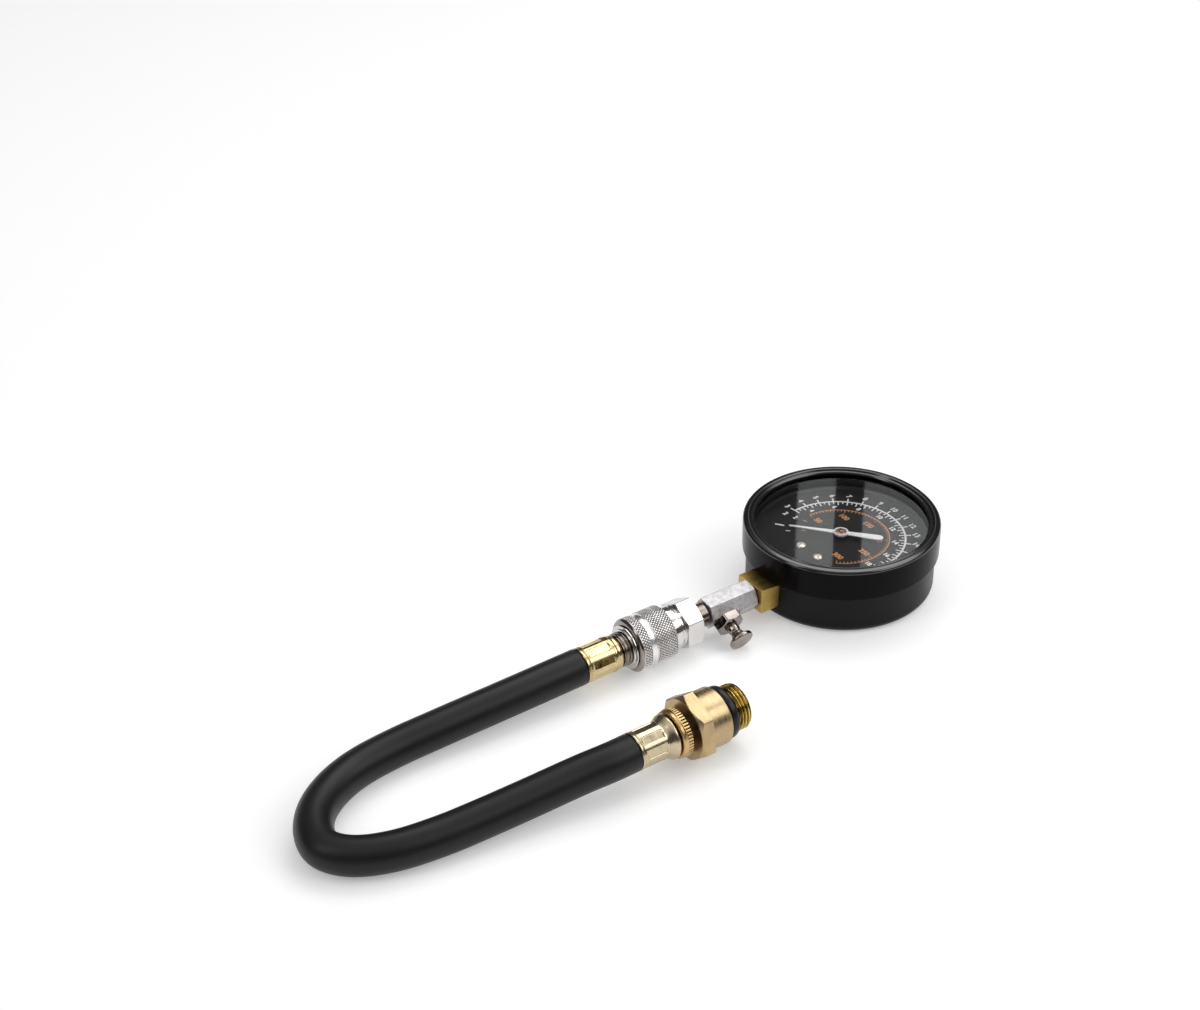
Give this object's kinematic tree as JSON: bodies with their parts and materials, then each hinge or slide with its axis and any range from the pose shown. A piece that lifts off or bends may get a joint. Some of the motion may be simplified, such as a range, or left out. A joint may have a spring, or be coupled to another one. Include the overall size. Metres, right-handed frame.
{
  "type": "compression tester gauge",
  "caption": "Dial pressure gauge with hexagonal release valve, sliding-sleeve quick coupler and a short rubber hose that ends in a threaded adapter.",
  "frame": {"origin": "centre of the gauge's flat back, on the surface that it lies on", "axes": "+Z out of the dial; +X along the stem from the hose toward the gauge; the hose curves back on the -Y side"},
  "size_m": [0.3049, 0.1095, 0.0305],
  "materials": {
    "black_paint": "gloss black paint",
    "black_dial": "matt black with printed scales",
    "glass": "clear, polished",
    "black_rubber": "matt black",
    "white_paint": "satin white",
    "brass": "machined",
    "zinc_yellow": "yellow passivated zinc",
    "nickel": "bright nickel plate",
    "dark_chrome": "dark chrome",
    "steel": "turned, dull plate"
  },
  "bodies": {
    "gauge": {"gauge_case": "black_paint", "bezel": "black_paint", "lens_gasket": "black_rubber", "lens": "glass", "dial": "black_dial", "dial_screw_1": "nickel", "dial_screw_2": "nickel", "hairspring": "steel", "movement_base": "brass", "movement_bridge": "brass", "movement_screw_1": "steel", "movement_screw_2": "steel", "bridge_screw_1": "steel", "bridge_screw_2": "steel", "bourdon_tube": "brass", "tube_tip": "brass", "stem_block": "brass", "case_screw_1": "steel", "case_screw_2": "steel", "valve_body": "steel", "button_nut": "nickel", "button_spring": "steel", "coupler_body": "nickel", "sleeve_spring": "steel", "retaining_ring": "nickel", "plug_seal": "black_rubber", "lock_ball_1": "steel", "lock_ball_2": "steel", "lock_ball_3": "steel", "lock_ball_4": "steel", "lock_ball_5": "steel", "lock_ball_6": "steel"},
    "pointer_wheel": {"pinion_arbor": "steel", "pointer": "white_paint"},
    "sector": {"sector_gear": "brass"},
    "link": {"link": "brass"},
    "button": {"release_button": "dark_chrome"},
    "sleeve": {"coupler_sleeve": "nickel"},
    "hose_end": {"hose_plug": "steel", "near_ferrule": "zinc_yellow", "hose": "black_rubber", "far_ferrule": "zinc_yellow", "far_nipple": "steel", "hand_ring": "brass", "adapter": "brass", "adapter_o_ring": "black_rubber", "check_valve": "brass"}
  },
  "joints": [
    {"name": "sector_turn", "type": "hinge", "parent": "gauge", "child": "sector", "pos_m": [0, -0.0135, 0.0106], "axis": [0, 0, 1], "range_deg": [0, 33], "stiffness_Nm_per_rad": 0.002},
    {"name": "pointer_turn", "type": "hinge", "parent": "gauge", "child": "pointer_wheel", "pos_m": [0, 0, 0.0106], "axis": [0, 0, 1], "range_deg": [-264, 0]},
    {"name": "link_turn", "type": "hinge", "parent": "sector", "child": "link", "pos_m": [-0.00682, -0.01507, 0.0153], "axis": [0, 0, 1], "range_deg": [-33, 0]},
    {"name": "button_press", "type": "slide", "parent": "gauge", "child": "button", "axis": [0, 0.9205, 0.3907], "range_m": [0, 0.0017], "stiffness_N_per_m": 600, "springref_m": -0.003},
    {"name": "sleeve_slide", "type": "slide", "parent": "gauge", "child": "sleeve", "axis": [1, 0, 0], "range_m": [0, 0.004], "stiffness_N_per_m": 900, "springref_m": -0.003},
    {"name": "coupler_swivel", "type": "hinge", "parent": "gauge", "child": "hose_end", "pos_m": [-0.1, 0, 0.0114], "axis": [1, 0, 0], "continuous": true}
  ],
  "couplings": [
    {"joint": "pointer_turn", "follows": "sector_turn", "ratio": -8},
    {"joint": "link_turn", "follows": "sector_turn", "ratio": -1}
  ]
}
